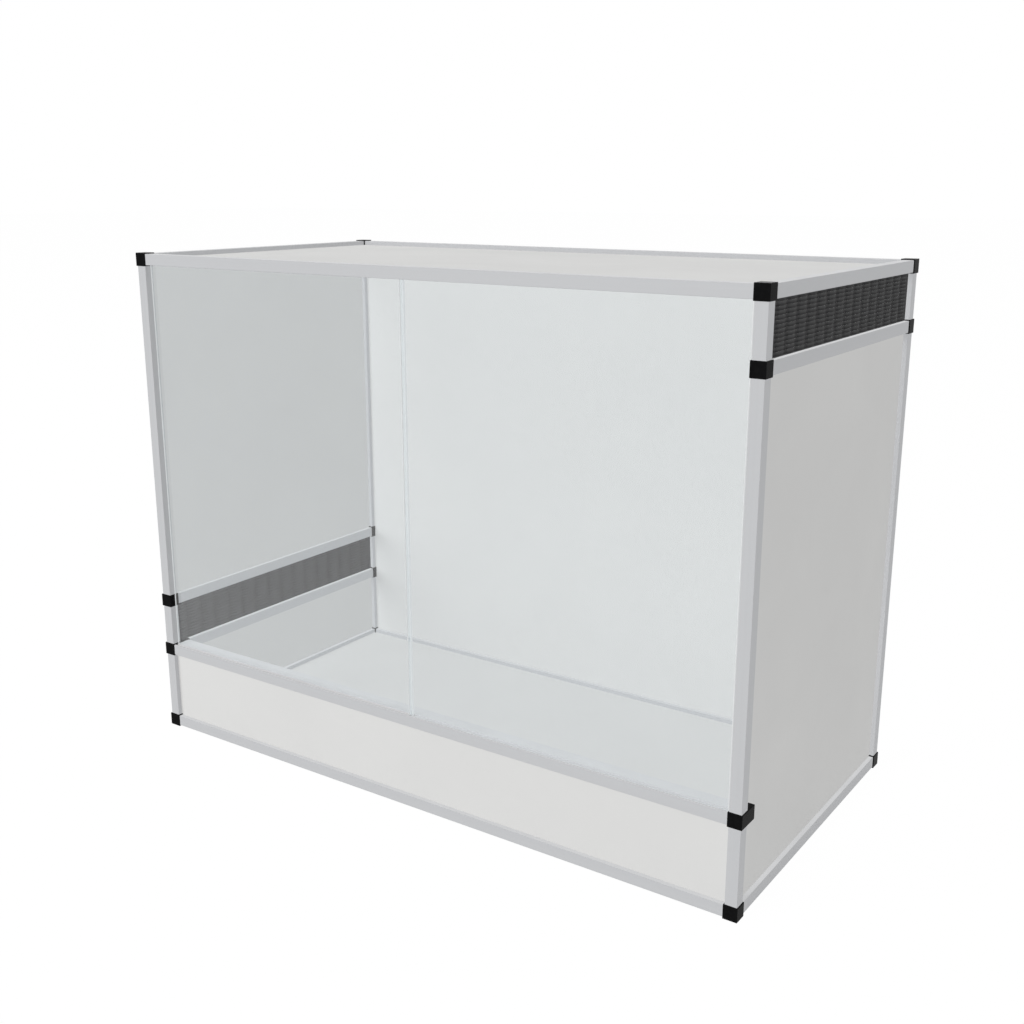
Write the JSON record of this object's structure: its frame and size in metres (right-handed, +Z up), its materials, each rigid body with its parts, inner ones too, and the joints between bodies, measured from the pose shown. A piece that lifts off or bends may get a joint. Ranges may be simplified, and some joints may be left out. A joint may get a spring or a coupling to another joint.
{
  "type": "terrarium",
  "caption": "Framed reptile terrarium of square aluminium tubes on black cube connectors, with pale panels, mesh vents low on one side and high on the other, and sliding glass front doors.",
  "frame": {"origin": "on the ground under the middle of the terrarium", "axes": "+X along the front to the right, +Y from the glass front to the back, +Z up"},
  "size_m": [1.0198, 0.5196, 0.7697],
  "materials": {
    "frame_aluminium": "fine satin anodised tube",
    "connector_plastic": "satin moulded black plastic",
    "panel_sheet": "matt pale grey rigid plastic sheet",
    "vent_mesh": "black coated flat strip woven over upright rods",
    "door_glass": "clear float glass with ground edges",
    "door_track": "grey extruded plastic liner"
  },
  "bodies": {
    "frame": {"connector_back_left_bottom": "connector_plastic", "connector_back_left_sill": "connector_plastic", "connector_back_left_top": "connector_plastic", "connector_back_left_vent": "connector_plastic", "connector_back_right_bottom": "connector_plastic", "connector_back_right_top": "connector_plastic", "connector_back_right_vent": "connector_plastic", "connector_front_left_bottom": "connector_plastic", "connector_front_left_sill": "connector_plastic", "connector_front_left_top": "connector_plastic", "connector_front_left_vent": "connector_plastic", "connector_front_right_bottom": "connector_plastic", "connector_front_right_sill": "connector_plastic", "connector_front_right_top": "connector_plastic", "connector_front_right_vent": "connector_plastic", "door_track_lower": "door_track", "door_track_upper": "door_track", "panel_back": "panel_sheet", "panel_floor": "panel_sheet", "panel_left_lower": "panel_sheet", "panel_left_upper": "panel_sheet", "panel_plinth": "panel_sheet", "panel_right": "panel_sheet", "panel_top": "panel_sheet", "post_back_left_lower": "frame_aluminium", "post_back_left_middle": "frame_aluminium", "post_back_left_upper": "frame_aluminium", "post_back_right_lower": "frame_aluminium", "post_back_right_upper": "frame_aluminium", "post_front_left_lower": "frame_aluminium", "post_front_left_middle": "frame_aluminium", "post_front_left_upper": "frame_aluminium", "post_front_right_lower": "frame_aluminium", "post_front_right_middle": "frame_aluminium", "post_front_right_upper": "frame_aluminium", "rail_bottom_back": "frame_aluminium", "rail_bottom_front": "frame_aluminium", "rail_bottom_left": "frame_aluminium", "rail_bottom_right": "frame_aluminium", "rail_door_sill": "frame_aluminium", "rail_left_vent_lower": "frame_aluminium", "rail_left_vent_upper": "frame_aluminium", "rail_right_vent": "frame_aluminium", "rail_top_back": "frame_aluminium", "rail_top_front": "frame_aluminium", "rail_top_left": "frame_aluminium", "rail_top_right": "frame_aluminium", "vent_mesh_left": "vent_mesh", "vent_mesh_right": "vent_mesh"},
    "left_door": {"door_pane_left": "door_glass"},
    "right_door": {"door_pane_right": "door_glass"}
  },
  "joints": [
    {"name": "left_door_slide", "type": "slide", "parent": "frame", "child": "left_door", "axis": [1, 0, 0], "range_m": [0, 0.4875]},
    {"name": "right_door_slide", "type": "slide", "parent": "frame", "child": "right_door", "axis": [1, 0, 0], "range_m": [-0.4875, 0]}
  ]
}
